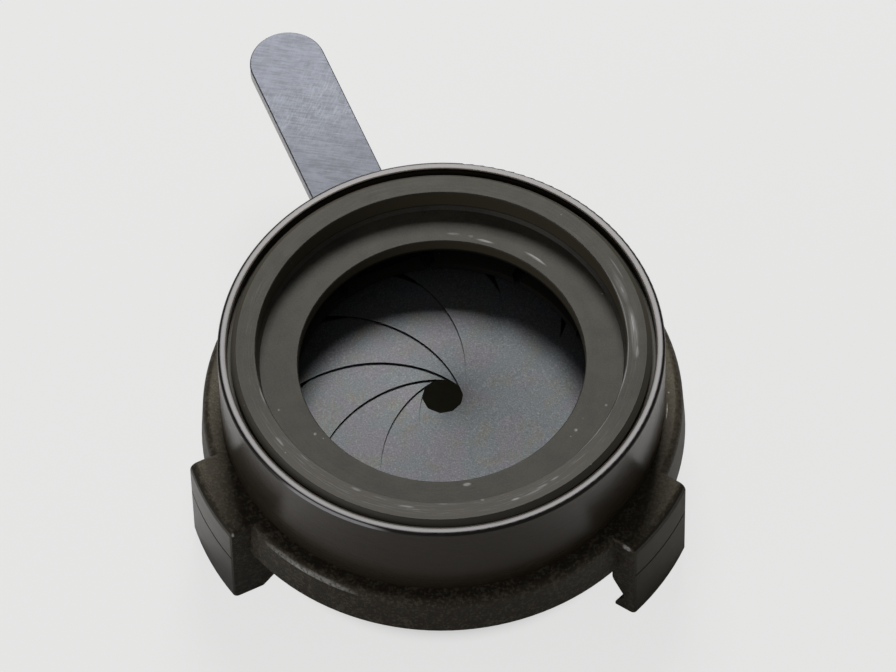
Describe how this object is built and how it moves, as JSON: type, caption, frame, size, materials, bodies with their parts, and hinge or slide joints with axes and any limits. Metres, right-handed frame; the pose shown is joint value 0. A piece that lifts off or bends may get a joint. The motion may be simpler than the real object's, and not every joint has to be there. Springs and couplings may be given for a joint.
{
  "type": "iris diaphragm",
  "caption": "Round iris diaphragm with curved leaves, a flat side lever that opens them, and a flange with hooked claws to hang it on a ring.",
  "frame": {"origin": "on the optical axis at the underside of the mounting flange, the seat that meets the host", "axes": "+Z along the optical axis towards the open recess, +Y through one of the three claws, the lever at 115.5 degrees from +X"},
  "size_m": [0.0666, 0.0891, 0.0294],
  "materials": {
    "flange_casting": "rough sand-cast metal, matt black paint",
    "barrel_enamel": "turned, semi-gloss black enamel",
    "ring_anodised": "turned, matt black anodised",
    "leaf_steel": "thin rolled spring steel, satin",
    "lever_steel": "brushed across its width",
    "screw_steel": "plain machined steel"
  },
  "bodies": {
    "housing": {"mounting_flange": "flange_casting", "barrel": "barrel_enamel", "barrel_screws": "screw_steel", "pivot_plate": "ring_anodised", "cover_ring": "ring_anodised", "retaining_ring": "ring_anodised"},
    "cam": {"cam_ring": "ring_anodised", "lever": "lever_steel", "lever_screws": "screw_steel"},
    "leaf_01": {"leaf_01": "leaf_steel", "leaf_01_studs": "screw_steel"},
    "leaf_02": {"leaf_02": "leaf_steel", "leaf_02_studs": "screw_steel"},
    "leaf_03": {"leaf_03": "leaf_steel", "leaf_03_studs": "screw_steel"},
    "leaf_04": {"leaf_04": "leaf_steel", "leaf_04_studs": "screw_steel"},
    "leaf_05": {"leaf_05": "leaf_steel", "leaf_05_studs": "screw_steel"},
    "leaf_06": {"leaf_06": "leaf_steel", "leaf_06_studs": "screw_steel"},
    "leaf_07": {"leaf_07": "leaf_steel", "leaf_07_studs": "screw_steel"},
    "leaf_08": {"leaf_08": "leaf_steel", "leaf_08_studs": "screw_steel"},
    "leaf_09": {"leaf_09": "leaf_steel", "leaf_09_studs": "screw_steel"},
    "leaf_10": {"leaf_10": "leaf_steel", "leaf_10_studs": "screw_steel"}
  },
  "joints": [
    {"name": "lever_turn", "type": "hinge", "parent": "housing", "child": "cam", "pos_m": [0, 0, 0.0094], "axis": [0, 0, -1], "range_deg": [0, 80.4]},
    {"name": "leaf_01_swing", "type": "hinge", "parent": "housing", "child": "leaf_01", "pos_m": [0.01464, -0.01695, 0.0058], "axis": [0, 0, -1], "range_deg": [0, 41.43]},
    {"name": "leaf_02_swing", "type": "hinge", "parent": "housing", "child": "leaf_02", "pos_m": [0.02181, -0.00511, 0.0058], "axis": [0, 0, -1], "range_deg": [0, 41.43]},
    {"name": "leaf_03_swing", "type": "hinge", "parent": "housing", "child": "leaf_03", "pos_m": [0.02065, 0.00868, 0.0058], "axis": [0, 0, -1], "range_deg": [0, 41.43]},
    {"name": "leaf_04_swing", "type": "hinge", "parent": "housing", "child": "leaf_04", "pos_m": [0.0116, 0.01916, 0.0058], "axis": [0, 0, -1], "range_deg": [0, 41.43]},
    {"name": "leaf_05_swing", "type": "hinge", "parent": "housing", "child": "leaf_05", "pos_m": [-0.00188, 0.02232, 0.0058], "axis": [0, 0, -1], "range_deg": [0, 41.43]},
    {"name": "leaf_06_swing", "type": "hinge", "parent": "housing", "child": "leaf_06", "pos_m": [-0.01464, 0.01695, 0.0058], "axis": [0, 0, -1], "range_deg": [0, 41.43]},
    {"name": "leaf_07_swing", "type": "hinge", "parent": "housing", "child": "leaf_07", "pos_m": [-0.02181, 0.00511, 0.0058], "axis": [0, 0, -1], "range_deg": [0, 41.43]},
    {"name": "leaf_08_swing", "type": "hinge", "parent": "housing", "child": "leaf_08", "pos_m": [-0.02065, -0.00868, 0.0058], "axis": [0, 0, -1], "range_deg": [0, 41.43]},
    {"name": "leaf_09_swing", "type": "hinge", "parent": "housing", "child": "leaf_09", "pos_m": [-0.0116, -0.01916, 0.0058], "axis": [0, 0, -1], "range_deg": [0, 41.43]},
    {"name": "leaf_10_swing", "type": "hinge", "parent": "housing", "child": "leaf_10", "pos_m": [0.00188, -0.02232, 0.0058], "axis": [0, 0, -1], "range_deg": [0, 41.43]}
  ],
  "couplings": [
    {"joint": "leaf_01_swing", "follows": "lever_turn", "ratio": 0.51471},
    {"joint": "leaf_02_swing", "follows": "lever_turn", "ratio": 0.51471},
    {"joint": "leaf_03_swing", "follows": "lever_turn", "ratio": 0.51471},
    {"joint": "leaf_04_swing", "follows": "lever_turn", "ratio": 0.51471},
    {"joint": "leaf_05_swing", "follows": "lever_turn", "ratio": 0.51471},
    {"joint": "leaf_06_swing", "follows": "lever_turn", "ratio": 0.51471},
    {"joint": "leaf_07_swing", "follows": "lever_turn", "ratio": 0.51471},
    {"joint": "leaf_08_swing", "follows": "lever_turn", "ratio": 0.51471},
    {"joint": "leaf_09_swing", "follows": "lever_turn", "ratio": 0.51471},
    {"joint": "leaf_10_swing", "follows": "lever_turn", "ratio": 0.51471}
  ]
}
